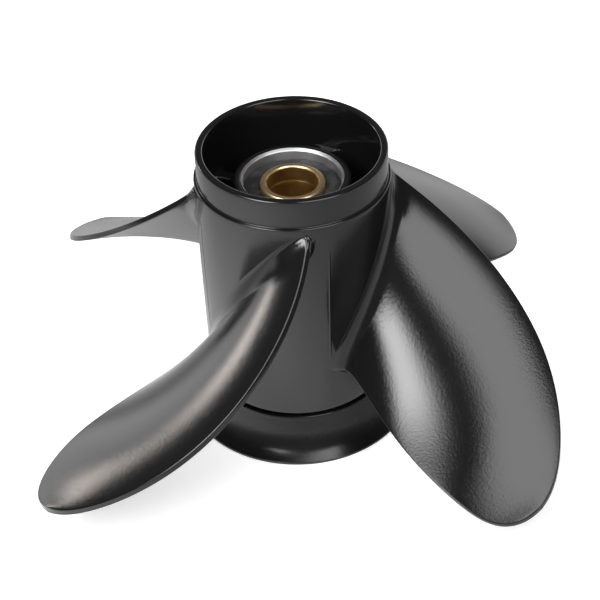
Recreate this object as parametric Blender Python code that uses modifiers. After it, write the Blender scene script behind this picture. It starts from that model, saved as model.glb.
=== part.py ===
"""Four-blade outboard propeller with the exhaust led through its hub, standing on its flared tail.

+Z is the shaft axis and points forward, towards the engine. The origin is at the middle of the foot.
Angles are measured round the shaft from +X. A blade is described in its own frame, with its
leading edge starting at the front of the hub, and the other three are turned copies of it.
"""

import math

import bmesh
import bpy
import numpy as np

# Overall sizes, in metres
DIAMETER = 0.2667
LENGTH = 0.125
BLADES = 4
CLEARANCE = 0.0003
ROUND = 2 * math.pi

# Barrel: the outer tube of the hub, with a plain band and a shoulder at its front
BARREL_AFT_Z = 0.0189
SHOULDER_Z = 0.1131
BARREL_AFT_RADIUS = 0.03774
SHOULDER_RADIUS = 0.03885
BAND_RADIUS = 0.03764
BARREL_BORE_RADIUS = 0.0345
RIM_ROUNDING = 0.0008
EDGE_ROUNDING = 0.0005

# Tail ring: a flared skirt whose spigot stands inside the barrel
TAIL_GAP = 0.0013
TAIL_TOP_RADIUS = 0.0385
TAIL_BEND = (0.0422, 0.0074)
TAIL_LIP_Z = 0.0015
TAIL_LIP_TILT = 62.0
TAIL_FOOT_RADIUS = 0.04847
TAIL_FOOT_INNER_RADIUS = 0.0456
TAIL_THROAT_RADIUS = 0.0322
TAIL_INNER_FLARE_HEIGHT = 0.011
SPIGOT_TOP_Z = 0.027

# Inner hub: the tube that carries the bush, with a machined mouth and a stop lip at the back
HUB_TOP_Z = 0.1109
HUB_AFT_Z = 0.036
HUB_RADIUS = 0.0234
HUB_AFT_RADIUS = 0.0240
HUB_TOP_ROUNDING = 0.0014
HUB_MOUTH_RADIUS = 0.02045
HUB_MOUTH_DEPTH = 0.0010
HUB_BORE_RADIUS = 0.0196
HUB_LIP_RADIUS = 0.0150
HUB_LIP_THICKNESS = 0.008

# Rubber bush
BUSH_TOP_Z = 0.1061

# Splined sleeve
SLEEVE_TOP_Z = 0.1089
SLEEVE_AFT_Z = 0.034
SLEEVE_RADIUS = 0.0129
SLEEVE_ROUNDING = 0.0011
SLEEVE_MOUTH_RADIUS = 0.01017
SLEEVE_MOUTH_Z = 0.102
SLEEVE_BORE_RADIUS = 0.01005
SPLINE_TOP_Z = 0.090
SPLINE_TIP_RADIUS = 0.0086
SPLINE_GROOVE_RADIUS = 0.0099
SPLINES = 13
SPLINE_GROOVE_SHARE = 0.5

# Webs that join the inner hub to the barrel
WEB_ANGLE = math.radians(64.2)
WEB_THICKNESS = 0.005
WEB_FILLET = 0.0045
WEB_TOP_Z = 0.104
WEB_AFT_Z = 0.040

# Blade outline: (share of the way round the edge, angle round the shaft in degrees, height).
# It starts at the leading edge's root, passes the tip half way, and ends at the trailing edge's root.
BLADE_OUTLINE = (
    (0.00, -81.4, 0.1082),
    (0.12, -97.4, 0.0803),
    (0.25, -113.4, 0.0532),
    (0.38, -127.9, 0.0323),
    (0.50, -137.0, 0.0223),
    (0.62, -144.1, 0.0187),
    (0.75, -148.8, 0.0247),
    (0.88, -151.0, 0.0321),
    (1.00, -150.2, 0.0433),
)
BLADE_START_RADIUS = 0.0393
BLADE_CAMBER = (0.0029, -0.0131, 0.0113)
BLADE_CAMBER_LEAN = 0.13
ROOT_THICKNESS = 0.0064
TIP_THICKNESS = 0.0027
EDGE_THICKNESS = 0.0023
THICKNESS_FALL = 0.8
ROOT_FILLET = 0.005
LEADING_FILLET_SHARE = 0.3
LEADING_FILLET_CHORD = 0.05
SWELL_HEIGHT = 0.0008
SWELL_CHORD = 0.15
SWELL_WIDTH = 0.08
SWELL_REACH = 0.0024
TRAILING_FLARE = 0.006
TRAILING_FLARE_REACH = 0.0035
TRAILING_FLARE_CHORD = 0.25
ROOT_BLEND = 0.008

# Fineness of the curved surfaces
BARREL_STEPS = 72
HUB_STEPS = 48
SLEEVE_STEPS = 48
ARC_STEPS = 2
FLARE_STEPS = 5
CHORD_STEPS = 16
ROOT_ROWS = 5
FILLET_STEPS = 3
SPAN_STEPS = 10
TIP_SPAN_ANGLE = math.radians(88.5)
SHARP_ANGLE = math.radians(35)

PAINT_BLACK = (0.018, 0.018, 0.020, 1.0)
RUBBER_GREY = (0.055, 0.056, 0.058, 1.0)
BRONZE = (0.60, 0.36, 0.14, 1.0)


def clear_scene():
    for obj in list(bpy.data.objects):
        bpy.data.objects.remove(obj, do_unlink=True)


def new_collection(name):
    collection = bpy.data.collections.new(name)
    bpy.context.scene.collection.children.link(collection)
    return collection


def principled(name, color, roughness, metallic):
    material = bpy.data.materials.new(name)
    material.use_nodes = True
    shader = material.node_tree.nodes["Principled BSDF"]
    shader.inputs["Base Color"].default_value = color
    shader.inputs["Roughness"].default_value = roughness
    shader.inputs["Metallic"].default_value = metallic
    material.diffuse_color = color
    return material


def add_object(name, mesh, material, collection):
    obj = bpy.data.objects.new(name, mesh)
    collection.objects.link(obj)
    if material and not mesh.materials:
        mesh.materials.append(material)
    return obj


def arc(centre, radii, start, end, steps):
    """Points of an ellipse arc round centre (radius, z), from start to end in degrees."""
    angles = np.radians(np.linspace(start, end, steps + 1))
    return [
        (centre[0] + radii[0] * math.cos(angle), centre[1] + radii[1] * math.sin(angle))
        for angle in angles
    ]


def turned(name, profile, steps, material, collection):
    """A ring turned round Z from a closed (radius, z) profile that runs down its outer side."""
    mesh = bpy.data.meshes.new(name)
    points = [(radius, 0.0, z) for radius, z in profile]
    edges = [(i, (i + 1) % len(points)) for i in range(len(points))]
    mesh.from_pydata(points, edges, [])
    obj = add_object(name, mesh, material, collection)
    screw = obj.modifiers.new("turn", "SCREW")
    screw.axis = "Z"
    screw.steps = steps
    screw.render_steps = steps
    screw.use_merge_vertices = True
    screw.merge_threshold = 0.00001
    return obj


def barrel_radius(z):
    """Outer radius of the barrel's gentle taper at height z."""
    share = (z - BARREL_AFT_Z) / (SHOULDER_Z - BARREL_AFT_Z)
    return BARREL_AFT_RADIUS + (SHOULDER_RADIUS - BARREL_AFT_RADIUS) * share


def make_barrel(collection):
    paint = principled("barrel_paint", PAINT_BLACK, 0.35, 0.0)
    rim, edge = RIM_ROUNDING, EDGE_ROUNDING
    profile = (
        arc((BAND_RADIUS - rim, LENGTH - rim), (rim, rim), 90, 0, ARC_STEPS)
        + [(BAND_RADIUS, SHOULDER_Z)]
        + arc((SHOULDER_RADIUS - edge, SHOULDER_Z - edge), (edge, edge), 90, 0, ARC_STEPS)
        + arc((BARREL_AFT_RADIUS - edge, BARREL_AFT_Z + edge), (edge, edge), 0, -90, ARC_STEPS)
        + [(BARREL_BORE_RADIUS, BARREL_AFT_Z)]
        + arc((BARREL_BORE_RADIUS + rim, LENGTH - rim), (rim, rim), 180, 90, ARC_STEPS)
    )
    return turned("outer_barrel", profile, BARREL_STEPS, paint, collection)


def bowed_line(start, end, end_tilt, steps):
    """Circular arc between two points that reaches the end at a given slope from the upright."""
    start, end = np.array(start), np.array(end)
    reach = end - start
    chord_tilt = math.atan2(reach[0], -reach[1])
    half_turn = math.radians(end_tilt) - chord_tilt
    turn = np.linspace(-half_turn, half_turn, steps + 1)[:, None]
    sideways = np.linalg.norm(reach) * np.array([math.cos(chord_tilt), math.sin(chord_tilt)])
    along = (np.sin(turn) + math.sin(half_turn)) / (2 * math.sin(half_turn))
    sag = (math.cos(half_turn) - np.cos(turn)) / (2 * math.sin(half_turn))
    return [tuple(point) for point in start + along * reach + sag * sideways]


def make_tail_ring(collection):
    paint = principled("tail_ring_paint", PAINT_BLACK, 0.35, 0.0)
    edge = EDGE_ROUNDING
    top = BARREL_AFT_Z - TAIL_GAP
    lip_radius = TAIL_FOOT_RADIUS - edge
    inner_flare = (TAIL_FOOT_INNER_RADIUS - TAIL_THROAT_RADIUS, TAIL_INNER_FLARE_HEIGHT)
    spigot_radius = BARREL_BORE_RADIUS - CLEARANCE
    lip = arc((lip_radius, TAIL_LIP_Z - edge), (edge, edge), 90 - TAIL_LIP_TILT, 0, 2)
    profile = (
        [(spigot_radius, SPIGOT_TOP_Z), (spigot_radius, top)]
        + [(TAIL_TOP_RADIUS - edge, top), (TAIL_TOP_RADIUS, top - edge)]
        + bowed_line(TAIL_BEND, lip[0], TAIL_LIP_TILT, FLARE_STEPS)[:-1]
        + lip
        + arc((lip_radius, edge), (edge, edge), 0, -90, 2)
        + arc((TAIL_FOOT_INNER_RADIUS, TAIL_INNER_FLARE_HEIGHT), inner_flare, 270, 180, FLARE_STEPS)
        + [(TAIL_THROAT_RADIUS, SPIGOT_TOP_Z)]
    )
    return turned("flared_tail_ring", profile, BARREL_STEPS, paint, collection)


def make_inner_hub(collection):
    paint = principled("inner_hub_paint", PAINT_BLACK, 0.4, 0.0)
    rounding = HUB_TOP_ROUNDING
    lip_z = HUB_AFT_Z + HUB_LIP_THICKNESS
    profile = (
        arc((HUB_RADIUS - rounding, HUB_TOP_Z - rounding), (rounding, rounding), 90, 0, ARC_STEPS)
        + [(HUB_AFT_RADIUS, HUB_AFT_Z), (HUB_LIP_RADIUS, HUB_AFT_Z), (HUB_LIP_RADIUS, lip_z)]
        + [(HUB_BORE_RADIUS, lip_z), (HUB_BORE_RADIUS, HUB_TOP_Z - HUB_MOUTH_DEPTH)]
        + [(HUB_MOUTH_RADIUS, HUB_TOP_Z)]
    )
    return turned("inner_hub", profile, HUB_STEPS, paint, collection)


def make_bush(collection):
    rubber = principled("bush_rubber", RUBBER_GREY, 0.6, 0.0)
    outer = HUB_BORE_RADIUS - CLEARANCE
    inner = SLEEVE_RADIUS + CLEARANCE
    aft_z = HUB_AFT_Z + HUB_LIP_THICKNESS + CLEARANCE
    profile = [(outer, BUSH_TOP_Z), (outer, aft_z), (inner, aft_z), (inner, BUSH_TOP_Z)]
    return turned("rubber_bush", profile, HUB_STEPS, rubber, collection)


def spline_outline():
    """Corners of the splined bore, four for each groove, as points round the shaft."""
    pitch = ROUND / SPLINES
    half_groove = pitch * SPLINE_GROOVE_SHARE / 2
    half_floor = half_groove * 0.7
    below_bore = SPLINE_TIP_RADIUS - CLEARANCE
    corners = []
    for tooth in range(SPLINES):
        middle = tooth * pitch
        corners += [
            (below_bore, middle - half_groove),
            (SPLINE_GROOVE_RADIUS, middle - half_floor),
            (SPLINE_GROOVE_RADIUS, middle + half_floor),
            (below_bore, middle + half_groove),
        ]
    return [(radius * math.cos(angle), radius * math.sin(angle)) for radius, angle in corners]


def make_spline_cutter(collection):
    """A prism with the splines' section, longer than the bore at its aft end."""
    shape = bmesh.new()
    base_z = SLEEVE_AFT_Z - 0.005
    face = shape.faces.new([shape.verts.new((x, y, base_z)) for x, y in spline_outline()])
    raised = bmesh.ops.extrude_face_region(shape, geom=[face])["geom"]
    tops = [item for item in raised if isinstance(item, bmesh.types.BMVert)]
    bmesh.ops.translate(shape, verts=tops, vec=(0.0, 0.0, SPLINE_TOP_Z - base_z))
    bmesh.ops.recalc_face_normals(shape, faces=shape.faces)
    mesh = bpy.data.meshes.new("spline_cutter")
    shape.to_mesh(mesh)
    shape.free()
    cutter = add_object("spline_cutter", mesh, None, collection)
    cutter.hide_render = True
    cutter.display_type = "WIRE"
    return cutter


def make_sleeve(collection, cutters):
    bronze = principled("sleeve_bronze", BRONZE, 0.3, 1.0)
    rounding = SLEEVE_ROUNDING
    outer_centre = SLEEVE_RADIUS - rounding
    inner_centre = SLEEVE_MOUTH_RADIUS + rounding
    top = SLEEVE_TOP_Z - rounding
    profile = (
        arc((outer_centre, top), (rounding, rounding), 90, 0, ARC_STEPS)
        + [(SLEEVE_RADIUS, SLEEVE_AFT_Z), (SPLINE_TIP_RADIUS, SLEEVE_AFT_Z)]
        + [(SPLINE_TIP_RADIUS, SPLINE_TOP_Z - 0.001), (SLEEVE_BORE_RADIUS, SPLINE_TOP_Z + 0.001)]
        + [(SLEEVE_BORE_RADIUS, SLEEVE_MOUTH_Z), (SLEEVE_MOUTH_RADIUS, SLEEVE_MOUTH_Z)]
        + arc((inner_centre, top), (rounding, rounding), 180, 90, ARC_STEPS)
    )
    sleeve = turned("splined_sleeve", profile, SLEEVE_STEPS, bronze, collection)
    cut = sleeve.modifiers.new("splines", "BOOLEAN")
    cut.operation = "DIFFERENCE"
    cut.solver = "EXACT"
    cut.object = make_spline_cutter(cutters)
    return sleeve


def fillet_growth(distance, radius):
    """How far a quarter-round fillet of this radius stands out at a distance from the wall."""
    depth = np.clip(radius - distance, 0.0, radius)
    return radius - np.sqrt(np.maximum(radius**2 - depth**2, 0.0))


def web_outline():
    """Plan of one web along +X: straight flanks with a fillet at each wall, ends that follow the walls."""
    inner = HUB_AFT_RADIUS + CLEARANCE
    outer = BARREL_BORE_RADIUS - CLEARANCE
    share = (1 - np.cos(np.linspace(0, math.pi, 9))) / 2
    radii = inner + (outer - inner) * share
    growth = fillet_growth(radii - inner, WEB_FILLET) + fillet_growth(outer - radii, WEB_FILLET)
    half = np.arcsin((WEB_THICKNESS / 2 + growth) / radii)
    sides = list(zip(radii, half))
    far_end = [(outer, half[-1] * turn) for turn in (0.5, 0.0, -0.5)]
    near_end = [(inner, half[0] * turn) for turn in (-0.5, 0.0, 0.5)]
    corners = sides + far_end + [(radius, -angle) for radius, angle in reversed(sides)] + near_end
    return [(radius * math.cos(angle), radius * math.sin(angle)) for radius, angle in corners]


def make_webs(collection):
    paint = principled("web_paint", PAINT_BLACK, 0.4, 0.0)
    shape = bmesh.new()
    face = shape.faces.new([shape.verts.new((x, y, WEB_AFT_Z)) for x, y in web_outline()])
    raised = bmesh.ops.extrude_face_region(shape, geom=[face])["geom"]
    tops = [item for item in raised if isinstance(item, bmesh.types.BMVert)]
    bmesh.ops.translate(shape, verts=tops, vec=(0.0, 0.0, WEB_TOP_Z - WEB_AFT_Z))
    bmesh.ops.recalc_face_normals(shape, faces=shape.faces)
    mesh = bpy.data.meshes.new("web")
    shape.to_mesh(mesh)
    shape.free()
    webs = []
    for number in range(BLADES):
        web = add_object(f"hub_web_{number + 1}", mesh, paint, collection)
        web.rotation_euler.z = WEB_ANGLE + ROUND * number / BLADES
        webs.append(web)
    return webs


def natural_spline(knots, values, places):
    """Values at places of the smoothest cubic curve through the knots, with free ends."""
    knots, values = np.asarray(knots), np.asarray(values)
    gaps, slopes = np.diff(knots), np.diff(values) / np.diff(knots)
    system, right = np.eye(len(knots)), np.zeros(len(knots))
    for i in range(1, len(knots) - 1):
        system[i, i - 1 : i + 2] = gaps[i - 1], 2 * (gaps[i - 1] + gaps[i]), gaps[i]
        right[i] = 6 * (slopes[i] - slopes[i - 1])
    bends = np.linalg.solve(system, right)
    i = np.clip(np.searchsorted(knots, places) - 1, 0, len(gaps) - 1)
    after, before, gap = places - knots[i], knots[i + 1] - places, gaps[i]
    return (
        (bends[i] * before**3 + bends[i + 1] * after**3) / (6 * gap)
        + (values[i] / gap - bends[i] * gap / 6) * before
        + (values[i + 1] / gap - bends[i + 1] * gap / 6) * after
    )


def blade_stations():
    """Radii of the blade's sections, close together in the root fillet and rounded off to the tip."""
    root = barrel_radius((BARREL_AFT_Z + SHOULDER_Z) / 2) + CLEARANCE
    fillet = root + ROOT_FILLET * (1 - np.cos(np.linspace(0, math.pi / 2, FILLET_STEPS + 1)))
    start = math.asin((fillet[-1] - BLADE_START_RADIUS) / (DIAMETER / 2 - BLADE_START_RADIUS))
    angles = np.linspace(start, TIP_SPAN_ANGLE, SPAN_STEPS + 1)[1:]
    span = (DIAMETER / 2 - BLADE_START_RADIUS) / math.sin(TIP_SPAN_ANGLE)
    return root, np.concatenate([fillet, BLADE_START_RADIUS + span * np.sin(angles)])


def blade_section(radius, root):
    """One section on the cylinder of this radius, as rows of points from its lower to its upper face.

    The middle line runs from the leading edge to the trailing edge, straight but for its camber, in
    the cylinder's unrolled plane. The faces stand half the thickness off it, and the root fillet
    pushes the whole outline outwards, so that it meets the barrel squarely.
    """
    share, angle, height = np.array(BLADE_OUTLINE).T
    span = np.clip((radius - BLADE_START_RADIUS) / (DIAMETER / 2 - BLADE_START_RADIUS), 0.0, 1.0)
    way = min(math.asin(span), TIP_SPAN_ANGLE) / math.pi
    ends = np.array([way, 1 - way])
    lead_angle, trail_angle = np.radians(natural_spline(share, angle, ends))
    lead_z, trail_z = natural_spline(share, height, ends)
    chord = (1 - np.cos(np.linspace(0, math.pi, CHORD_STEPS + 1))) / 2
    bow = 4 * chord * (1 - chord)
    rise = np.polyval(BLADE_CAMBER[::-1], span) * (1 - span**2) ** 0.25
    along = radius * (lead_angle + (trail_angle - lead_angle) * chord)
    up = lead_z + (trail_z - lead_z) * chord + rise * bow * (1 + BLADE_CAMBER_LEAN * (2 * chord - 1))

    middle = np.stack([along, up], axis=1)
    tangent = np.gradient(middle, axis=0)
    tangent /= np.linalg.norm(tangent, axis=1, keepdims=True)
    normal = np.stack([tangent[:, 1], -tangent[:, 0]], axis=1)
    thickest = ROOT_THICKNESS + (TIP_THICKNESS - ROOT_THICKNESS) * span
    half = (EDGE_THICKNESS + (thickest - EDGE_THICKNESS) * bow**THICKNESS_FALL) / 2

    fillet = fillet_growth(radius - root, ROOT_FILLET)
    growth = fillet * (1 - (1 - LEADING_FILLET_SHARE) * np.exp(-chord / LEADING_FILLET_CHORD))
    share = (radius - root) / SWELL_REACH
    across = np.exp(-(((chord - SWELL_CHORD) / SWELL_WIDTH) ** 2))
    swell = SWELL_HEIGHT * across * share * math.exp((1 - share**2) / 2)
    trailing_part = np.clip(1 - (1 - chord) / TRAILING_FLARE_CHORD, 0.0, 1.0) ** 2
    flare = TRAILING_FLARE * math.exp((root - radius) / TRAILING_FLARE_REACH)
    push = tangent * (flare * trailing_part)[:, None]
    push[0] = -tangent[0] * growth[0]
    lower = middle + push - (half + growth)[:, None] * normal
    upper = middle + push + (half + growth + swell)[:, None] * normal
    rows = lower + np.linspace(0, 1, ROOT_ROWS)[:, None, None] * (upper - lower)
    fade = max(0.0, 1 - (radius - root) / ROOT_BLEND)
    seat = barrel_radius(rows[:, :, 1]) + CLEARANCE - root
    true_radius = radius + seat * fade
    turn = rows[:, :, 0] / radius
    return np.stack(
        [true_radius * np.cos(turn), true_radius * np.sin(turn), rows[:, :, 1]], axis=-1
    )


def make_blades(collection):
    """Lofts the sections into one closed blade, then places it four times round the barrel."""
    paint = principled("blade_paint", PAINT_BLACK, 0.35, 0.0)
    root, stations = blade_stations()
    sections = [blade_section(radius, root) for radius in stations]
    rings = [np.concatenate([rows[0], rows[-1][::-1]]) for rows in sections]
    size = len(rings[0])
    points = np.concatenate(rings + list(sections[0][1:-1]))
    faces = []
    for ring in range(len(rings) - 1):
        low, high = ring * size, (ring + 1) * size
        for i in range(size):
            following = (i + 1) % size
            faces.append((low + i, low + following, high + following, high + i))
    columns = CHORD_STEPS + 1
    first_inside = len(rings) * size
    inside = first_inside + np.arange((ROOT_ROWS - 2) * columns).reshape(ROOT_ROWS - 2, columns)
    lower, upper = np.arange(columns), size - 1 - np.arange(columns)
    cap = np.vstack([lower, inside, upper])
    for row in range(ROOT_ROWS - 1):
        for i in range(CHORD_STEPS):
            faces.append((cap[row, i], cap[row + 1, i], cap[row + 1, i + 1], cap[row, i + 1]))
    last = (len(rings) - 1) * size
    for i in range(CHORD_STEPS):
        faces.append((last + lower[i], last + lower[i + 1], last + upper[i + 1], last + upper[i]))
    faces.append(tuple(cap[:, 0]))
    faces.append(tuple(cap[::-1, -1]))
    mesh = bpy.data.meshes.new("blade")
    mesh.from_pydata(points.tolist(), [], faces)
    shape = bmesh.new()
    shape.from_mesh(mesh)
    bmesh.ops.recalc_face_normals(shape, faces=shape.faces)
    shape.to_mesh(mesh)
    shape.free()
    blades = []
    for number in range(BLADES):
        blade = add_object(f"blade_{number + 1}", mesh, paint, collection)
        blade.rotation_euler.z = ROUND * number / BLADES
        blades.append(blade)
    return blades


def shade(objects):
    """Applies the modifiers and shades round surfaces smooth up to the sharp angle."""
    bpy.context.view_layer.update()
    graph = bpy.context.evaluated_depsgraph_get()
    for obj in objects:
        if obj.modifiers:
            obj.data = bpy.data.meshes.new_from_object(obj.evaluated_get(graph))
            obj.modifiers.clear()
        obj.data.shade_smooth()
        obj.data.set_sharp_from_angle(angle=SHARP_ANGLE)


def main():
    clear_scene()
    pieces = new_collection("propeller")
    cutters = new_collection("cutters")
    turned_pieces = [
        make_barrel(pieces),
        make_tail_ring(pieces),
        make_inner_hub(pieces),
        make_bush(pieces),
        make_sleeve(pieces, cutters),
    ]
    shade(turned_pieces + make_webs(pieces) + make_blades(pieces))


main()
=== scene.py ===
# %% [markdown]
# # An outboard propeller, cast in one piece and painted black
#
# The real thing is an aluminium casting: a barrel with four blades outside it and four webs inside
# it, which hold a smaller inner hub. A rubber bush and a bronze sleeve sit in that hub, and a flared
# ring closes the tail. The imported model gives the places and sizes, and this lesson makes each
# visible surface again as a formula on a grid, so that the paint's reflections run smoothly.

# %% Load the frame and read the sizes from it
import math

import bmesh
import bpy
import numpy as np
from mathutils import Matrix, Vector


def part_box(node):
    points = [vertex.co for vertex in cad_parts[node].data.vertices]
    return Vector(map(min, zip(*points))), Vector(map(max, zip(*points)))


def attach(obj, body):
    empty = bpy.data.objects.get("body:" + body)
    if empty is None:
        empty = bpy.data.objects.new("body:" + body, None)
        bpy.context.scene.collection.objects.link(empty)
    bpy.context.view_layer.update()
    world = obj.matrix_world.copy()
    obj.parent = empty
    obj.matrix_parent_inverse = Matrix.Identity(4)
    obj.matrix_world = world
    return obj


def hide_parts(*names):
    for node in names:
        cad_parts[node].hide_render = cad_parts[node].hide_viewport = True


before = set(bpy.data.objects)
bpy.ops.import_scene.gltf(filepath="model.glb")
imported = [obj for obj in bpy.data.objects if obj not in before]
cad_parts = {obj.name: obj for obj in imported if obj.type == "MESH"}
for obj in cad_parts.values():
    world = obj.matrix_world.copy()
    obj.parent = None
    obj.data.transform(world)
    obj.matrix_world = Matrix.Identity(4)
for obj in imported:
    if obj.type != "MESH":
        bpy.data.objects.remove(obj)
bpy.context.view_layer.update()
MM = 0.001
TURN = 2 * math.pi


def node_heights(node):
    """Lowest and highest z of a node's box."""
    low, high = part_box(node)
    return low[2], high[2]


def node_radius(node):
    """Largest distance from the shaft axis that a round node's box reaches."""
    low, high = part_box(node)
    return max(high[0], -low[0])


BARREL_AFT_Z, RIM_Z = node_heights("outer_barrel")
HUB_AFT_Z, HUB_TOP_Z = node_heights("inner_hub")
WEB_AFT_Z, WEB_TOP_Z = node_heights("hub_web_1")
BUSH_TOP_Z = node_heights("rubber_bush")[1]
SLEEVE_AFT_Z, SLEEVE_TOP_Z = node_heights("splined_sleeve")
SPIGOT_TOP_Z = node_heights("flared_tail_ring")[1]
SHOULDER_RADIUS = node_radius("outer_barrel")
HUB_AFT_RADIUS = node_radius("inner_hub")
SLEEVE_RADIUS = node_radius("splined_sleeve")
FOOT_RADIUS = node_radius("flared_tail_ring")
print("barrel from", BARREL_AFT_Z, "to", RIM_Z, "radius", SHOULDER_RADIUS, "foot radius", FOOT_RADIUS)

# %% [markdown]
# ## The camera
#
# The photograph was taken with a long lens from well above the rim, so the round mouth shows as an
# open ellipse. Blender's camera looks along its own -Z, so its turn is built from three axes: the
# one that points back from the object, and the right and up axes, which are rolled a little.

# %% Camera
CAMERA_TARGET = np.array([3.5, 0.0, 48.4]) * MM
CAMERA_DISTANCE = 662.6 * MM
CAMERA_HEIGHT_ANGLE = math.radians(38.92)
CAMERA_ROLL = math.radians(-1.78)
CAMERA_LENS = 95.25
CAMERA_SENSOR = 36.0
CAMERA_SHIFT = -0.0085


def make_camera():
    """Places the camera at its distance along the back axis and turns it to its three axes."""
    back = np.array([0.0, -math.cos(CAMERA_HEIGHT_ANGLE), math.sin(CAMERA_HEIGHT_ANGLE)])
    level_up = np.array([0.0, math.sin(CAMERA_HEIGHT_ANGLE), math.cos(CAMERA_HEIGHT_ANGLE)])
    level_right = np.array([1.0, 0.0, 0.0])
    right = math.cos(CAMERA_ROLL) * level_right + math.sin(CAMERA_ROLL) * level_up
    up = math.cos(CAMERA_ROLL) * level_up - math.sin(CAMERA_ROLL) * level_right
    place = CAMERA_TARGET + CAMERA_DISTANCE * back
    data = bpy.data.cameras.new("studio_camera")
    data.lens = CAMERA_LENS
    data.sensor_width = CAMERA_SENSOR
    data.shift_x = CAMERA_SHIFT
    camera = bpy.data.objects.new("studio_camera", data)
    bpy.context.scene.collection.objects.link(camera)
    turn = Matrix(np.column_stack([right, up, back]).tolist()).to_4x4()
    camera.matrix_world = Matrix.Translation(Vector(place)) @ turn
    bpy.context.scene.camera = camera
    return camera


camera = make_camera()
print("camera at", [round(value, 3) for value in camera.matrix_world.translation])

# %% [markdown]
# ## Helpers for node trees
#
# Each material, each lamp and the room is a small tree of nodes. It could be written out node by
# node, but a few helpers keep the trees short enough to read. Most add one node each. What they
# are given may be a socket, which they link, or a plain value, which they set.

# %% Node helpers
MIX_SOCKETS = {"FLOAT": (2, 0), "RGBA": (6, 2)}
RAMP_LABELS = ("From Min", "From Max", "To Min", "To Max")


def feed(tree, socket, value):
    """Links another socket into this one, or sets this one to a plain value."""
    if hasattr(value, "links"):
        tree.links.new(value, socket)
    else:
        socket.default_value = value


def math_node(tree, operation, *values):
    """Math node: the operation on these values."""
    node = tree.nodes.new("ShaderNodeMath")
    node.operation = operation
    for socket, value in zip(node.inputs, values):
        feed(tree, socket, value)
    return node.outputs[0]


def ramp_node(tree, value, span, reach=(0.0, 1.0), kind="SMOOTHSTEP"):
    """Map Range: goes from reach[0] to reach[1] while the value goes from span[0] to span[1]."""
    node = tree.nodes.new("ShaderNodeMapRange")
    node.interpolation_type = kind
    feed(tree, node.inputs["Value"], value)
    for label, number in zip(RAMP_LABELS, span + reach):
        node.inputs[label].default_value = number
    return node.outputs[0]


def mix_node(tree, kind, share, first, second):
    """Mix of numbers (FLOAT) or colours (RGBA): first where share is 0, second where it is 1."""
    node = tree.nodes.new("ShaderNodeMix")
    node.data_type = kind
    number, result = MIX_SOCKETS[kind]
    feed(tree, node.inputs[0], share)
    feed(tree, node.inputs[number], first)
    feed(tree, node.inputs[number + 1], second)
    return node.outputs[result]


def object_place(tree):
    """The point on the surface, in metres from the object's origin."""
    return tree.nodes.new("ShaderNodeTexCoord").outputs["Object"]


def axes_of(tree, vector):
    """Outputs X, Y and Z of a vector."""
    node = tree.nodes.new("ShaderNodeSeparateXYZ")
    feed(tree, node.inputs[0], vector)
    return node.outputs


def new_material(name, color, metallic):
    """A material with one Principled BSDF, given with its node tree and that shader."""
    material = bpy.data.materials.new(name)
    material.use_nodes = True
    shader = material.node_tree.nodes["Principled BSDF"]
    shader.inputs["Base Color"].default_value = color
    shader.inputs["Metallic"].default_value = metallic
    return material, material.node_tree, shader


# %% [markdown]
# ## Floor and light
#
# Black paint shows almost nothing of its own: what is seen is the room in it. Two large softboxes
# hang in front, a bright one on the left and a wider, weaker one on the right. A small warm lamp low
# at the back left draws the long streak on the near blade, and a pale backdrop lights the far
# blades. The rest of the room is dim, which gives the dark bands between the lights. A panel with
# sharp sides would leave sharp highlights, so ramps cut each panel down and fade its glow.
#
# The paper floor shows in the paint too. The camera sees it white, with a painted glow that grows
# from the front of the object to its back and lightens the shadows behind it. Reflections see a
# darker paper that glows near the object and far from it, as white paper does under a whole studio's
# lamps.

# %% Floor, backdrop and softboxes
WHITE = (1.0, 1.0, 1.0, 1.0)
FLOOR_SIDE = 8.0
PAPER_SEEN = (0.86, 0.86, 0.86, 1.0)
PAPER_REFLECTED = (0.5, 0.5, 0.5, 1.0)
PAPER_ROUGHNESS = 0.9
NEAR_GLOW = 1.4
NEAR_GLOW_REACH = 0.13
NEAR_GLOW_PLACE = (-0.08, -0.08, 0.0)
FAR_GLOW = (0.0, 1.15)
FAR_GLOW_SPAN = (0.35, 1.2)
# What the camera sees of the paper's glow, from the front of the object to its back.
SEEN_GLOW = (0.36, 0.75)
SEEN_GLOW_SPAN = (-0.12, 0.04)
# Cuts are (across, up, limit, fade): the panel glows where across * X + up * Y is below the limit.
SOFTBOXES = {
    "softbox_left": dict(
        angle=-135.5,
        height=50.0,
        size=(0.80, 1.12),
        glow=14.0,
        cuts=((-1, 0, 0, 0.3), (1, 0, 1, 0.45), (0, -1, 0, 0.04), (0, 1, 1, 0.5)),
    ),
    "softbox_right": dict(
        angle=138.0,
        height=54.6,
        size=(0.98, 1.04),
        glow=4.5,
        cuts=((-1, -0.22, -0.12, 0.15), (1, 0, 1, 0.08), (0, -1, 0, 0.1), (1, 1.25, 1.68, 0.08)),
    ),
    "lamp_back": dict(
        angle=-57.5,
        height=13.3,
        size=(0.38, 0.15),
        glow=11.0,
        roll=-22.0,
        cuts=((-1, 0, 0, 0.3), (1, 0, 1, 0.3), (0, -1, 0, 0.2), (0, 1, 1, 0.2)),
    ),
}
LAMP_DISTANCE = 1.3
LAMP_TINT = (1.0, 0.90, 0.82)
ROOM_GREY = 0.10
FRONT_GREY = 0.15
FRONT_SPAN = (-0.2, -0.7)
BACKDROP_GREY = 1.9
BACKDROP_SPAN = (0.25, 0.75)
BACKDROP_TOP = math.sin(math.radians(18))
BACKDROP_SOFTNESS = 0.07
BACKDROP_RISE = (0.0, 0.17)
BACKDROP_RISE_SPAN = (0.0, 0.8)
ROOM_SEEN = 1.4


def is_camera_ray(tree):
    """1 where the camera looks straight at the surface, 0 in reflections and in bounced light."""
    return tree.nodes.new("ShaderNodeLightPath").outputs["Is Camera Ray"]


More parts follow.
